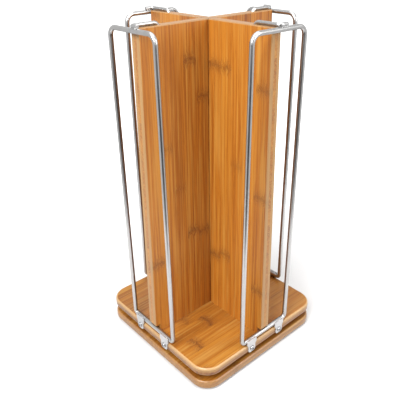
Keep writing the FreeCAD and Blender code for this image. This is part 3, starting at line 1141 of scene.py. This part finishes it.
def rubber():
    material, tree, shader = new_material("black_rubber")
    place = step(tree, "TexCoord").outputs["Object"]
    pits = noise(tree, stretched(tree, place, (1800, 1800, 1800)), 2.0, 3.0, 0.7)
    dust = noise(tree, stretched(tree, place, (90, 90, 90)), 5.0, 3.0, 0.6)
    dusty = between(tree, dust, 0.4, 0.75, 0.0, 0.6)
    feed(tree, shader.inputs["Base Color"], blend(tree, dusty, RUBBER_BLACK, RUBBER_DUST))
    feed(tree, shader.inputs["Roughness"], maths(tree, "MULTIPLY_ADD", pits, 0.2, 0.62))
    roughen(tree, shader, pits, 0.3, 0.1 * MM)
    return material


def foot_shape(low, high):
    radius = (high.x - low.x) / 2
    bm = bmesh.new()
    bmesh.ops.create_cone(bm, cap_ends=True, segments=40,
                          radius1=radius, radius2=radius, depth=high.z - low.z)
    bmesh.ops.translate(bm, verts=bm.verts, vec=(low + high) / 2)
    under = [face for face in bm.faces if face.normal.z < -0.9]
    soften(bm, [edge for face in under for edge in face.edges], FOOT_EDGE, 4)
    under = [face for face in bm.faces if face.normal.z < -0.9 and len(face.verts) > 4]
    bmesh.ops.inset_region(bm, faces=under, thickness=DISH_RIM, depth=-DISH_DEPTH)
    faces_out(bm)
    return bm


foot_rubber = rubber()
for number in ARMS:
    node = "foot_%d" % number
    foot = foot_shape(*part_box(node))
    finish_piece(foot, "rubber_" + node, "base", [node], foot_rubber)

# %% [markdown]
# ## The floor
# The tower stands on a plain white floor that runs out of sight. Far from the tower the floor glows
# by itself, as white as the room, so there is no horizon. It is a disc with a ring round it, because
# the wire would mirror the far part: the disc shows in reflections, and the ring doesn't. Neither
# throws light back up, which keeps the gap between the boards dark.

# %% Build the floor
NEAR_FLOOR = 0.40
FAR_FLOOR = 8.0
FLOOR_SEGMENTS = 64
GLOW_START = 0.14
GLOW_END = 0.55
GLOW = 0.9


def floor_material():
    """White paper, which glows where the panels' light no longer reaches."""
    material, tree, shader = new_material("white_floor")
    place = step(tree, "TexCoord").outputs["Object"]
    mottle = noise(tree, stretched(tree, place, (3, 3, 3)), 1.0, 2.0, 0.5)
    white = blend(tree, mottle, (0.76, 0.76, 0.76, 1), (0.79, 0.79, 0.79, 1))
    feed(tree, shader.inputs["Base Color"], white)
    feed(tree, shader.inputs["Roughness"], maths(tree, "MULTIPLY_ADD", mottle, 0.1, 0.65))
    away = step(tree, "VectorMath", {0: place}, operation="LENGTH").outputs["Value"]
    glow = between(tree, away, GLOW_START, GLOW_END, 0.0, GLOW)
    feed(tree, shader.inputs["Emission Strength"], glow)
    shader.inputs["Emission Color"].default_value = (1.0, 1.0, 1.0, 1)
    return material


def staged(bm, name, material):
    """A thing of the studio, which isn't part of the tower."""
    thing = object_from(bm, name)
    bm.free()
    thing.data.materials.append(material)
    return thing


paper = floor_material()
disc = bmesh.new()
bmesh.ops.create_circle(disc, cap_ends=True, radius=NEAR_FLOOR, segments=FLOOR_SEGMENTS)
floor = staged(disc, "floor", paper)

ring = bmesh.new()
bmesh.ops.create_circle(ring, cap_ends=False, radius=NEAR_FLOOR, segments=FLOOR_SEGMENTS)
outer_edge = verts_in(bmesh.ops.extrude_edge_only(ring, edges=ring.edges[:])["geom"])
widening = FAR_FLOOR / NEAR_FLOOR
bmesh.ops.scale(ring, verts=outer_edge, vec=(widening, widening, 1))
bmesh.ops.recalc_face_normals(ring, faces=ring.faces)
far_floor = staged(ring, "far_floor", paper)
far_floor.visible_glossy = False
for sheet in (floor, far_floor):
    sheet.visible_diffuse = False
print("the floor reaches", FAR_FLOOR, "m out")

# %% [markdown]
# ## Light
# The light is soft and comes from three large panels: a strong one from the front left, a weaker
# one from the right and one overhead. The room round them is white to the eye but gives little
# light itself. One bright world would be simpler, but it lights every corner alike and leaves the
# bamboo flat.

# %% Set the lights
AZIMUTH = math.radians(48.97)
TOWARDS_CAMERA = Vector((math.sin(AZIMUTH), -math.cos(AZIMUTH), 0))
TO_THE_RIGHT = Vector((math.cos(AZIMUTH), math.sin(AZIMUTH), 0))
TOWER_MIDDLE = (cad_low + cad_high) / 2
ROOM_TO_THE_EYE = 1.0
ROOM_IN_METAL = 0.95
ROOM_ON_SURFACES = 0.40


def light_panel(name, right, front, up, size, power):
    """A square light panel that faces the tower's middle."""
    lamp = bpy.data.lights.new(name, "AREA")
    lamp.size = size
    lamp.energy = power
    light = bpy.data.objects.new(name, lamp)
    bpy.context.scene.collection.objects.link(light)
    place = TO_THE_RIGHT * right + TOWARDS_CAMERA * front + Vector((0, 0, up))
    light.location = place
    light.rotation_euler = (TOWER_MIDDLE - place).to_track_quat("-Z", "Y").to_euler()
    print(name, "gives", power, "W")


def white_room():
    """A white world, whose strength depends on what looks at it."""
    world = bpy.data.worlds.new("white_room")
    world.use_nodes = True
    tree = world.node_tree
    path = step(tree, "LightPath").outputs
    strength = maths(tree, "MULTIPLY_ADD", path["Is Camera Ray"],
                     ROOM_TO_THE_EYE - ROOM_IN_METAL, ROOM_IN_METAL)
    strength = maths(tree, "MULTIPLY_ADD", path["Is Diffuse Ray"],
                     ROOM_ON_SURFACES - ROOM_IN_METAL, strength)
    room = tree.nodes["Background"]
    feed(tree, room.inputs["Strength"], strength)
    room.inputs["Color"].default_value = (1.0, 1.0, 1.0, 1)
    return world


light_panel("key_panel", -0.7, 1.1, 1.35, 0.9, 40)
light_panel("fill_panel", 1.3, 0.6, 0.9, 0.9, 15)
light_panel("top_panel", 0.0, 0.0, 1.6, 1.2, 15)
bpy.context.scene.world = white_room()
bpy.context.scene.view_settings.view_transform = "Standard"

# %% [markdown]
# ## Dark cards
# Bare wire only looks like metal when it has something dark to reflect, so dark cards stand round
# the tower, a low one near it and a high one behind that, in front and at the back. A studio does
# the same with black paper beside the camera. The camera and the shadows don't see the cards.

# %% Stand the cards
NEAR_CARD = (0.31, 0.20)
FAR_CARD = (0.41, 0.32)
CARD_WIDENING = 1.36
CARD_LIFT = 5 * MM


def dark_card(name, distance, height, turn, material):
    """An upright card at a distance from the tower's axis, which only shows in reflections."""
    size = (CARD_WIDENING * distance, 1, height)
    bm = blank(size, (0, -distance, height / 2 + CARD_LIFT), "X")
    turn_about(bm, turn, "Z")
    card = staged(bm, name, material)
    card.visible_camera = False
    card.visible_diffuse = False
    card.visible_shadow = False
    card.visible_transmission = False


black_paper, _, black_shader = new_material("dark_card")
black_shader.inputs["Base Color"].default_value = (0.05, 0.05, 0.05, 1)
black_shader.inputs["Roughness"].default_value = 0.9
for side, turn in (("front", AZIMUTH), ("back", AZIMUTH + math.pi)):
    dark_card("near_card_" + side, *NEAR_CARD, turn, black_paper)
    dark_card("far_card_" + side, *FAR_CARD, turn, black_paper)
print("cards stand", NEAR_CARD[0], "and", FAR_CARD[0], "m from the axis")

# %% [markdown]
# ## The camera
# The camera looks down on the tower from its front compartment, a little above its top. The view is
# shifted down a little, as a shift lens does, which keeps the uprights from leaning in too much.
# The camera's own right, up and back directions become the columns of its matrix.

# %% Set the camera
CAMERA_PLACE = Vector((0.4040, -0.3661, 0.4519))
LOOK_DOWN = math.radians(22.59)
CAMERA_ROLL = -0.0164

camera_data = bpy.data.cameras.new("camera")
camera_data.lens = 46.90
camera_data.sensor_width = 36.0
camera_data.shift_y = -0.11
camera_data.clip_start = 0.01
camera = bpy.data.objects.new("camera", camera_data)
bpy.context.scene.collection.objects.link(camera)

ahead = -TOWARDS_CAMERA * math.cos(LOOK_DOWN) - Vector((0, 0, math.sin(LOOK_DOWN)))
level_right = ahead.cross(ALONG_Z).normalized()
level_up = level_right.cross(ahead)
right = level_right * math.cos(CAMERA_ROLL) + level_up * math.sin(CAMERA_ROLL)
up = level_up * math.cos(CAMERA_ROLL) - level_right * math.sin(CAMERA_ROLL)
facing = Matrix((right, up, -ahead)).transposed()
camera.matrix_world = Matrix.Translation(CAMERA_PLACE) @ facing.to_4x4()
bpy.context.scene.camera = camera
print("camera stands at", [round(part, 3) for part in CAMERA_PLACE])
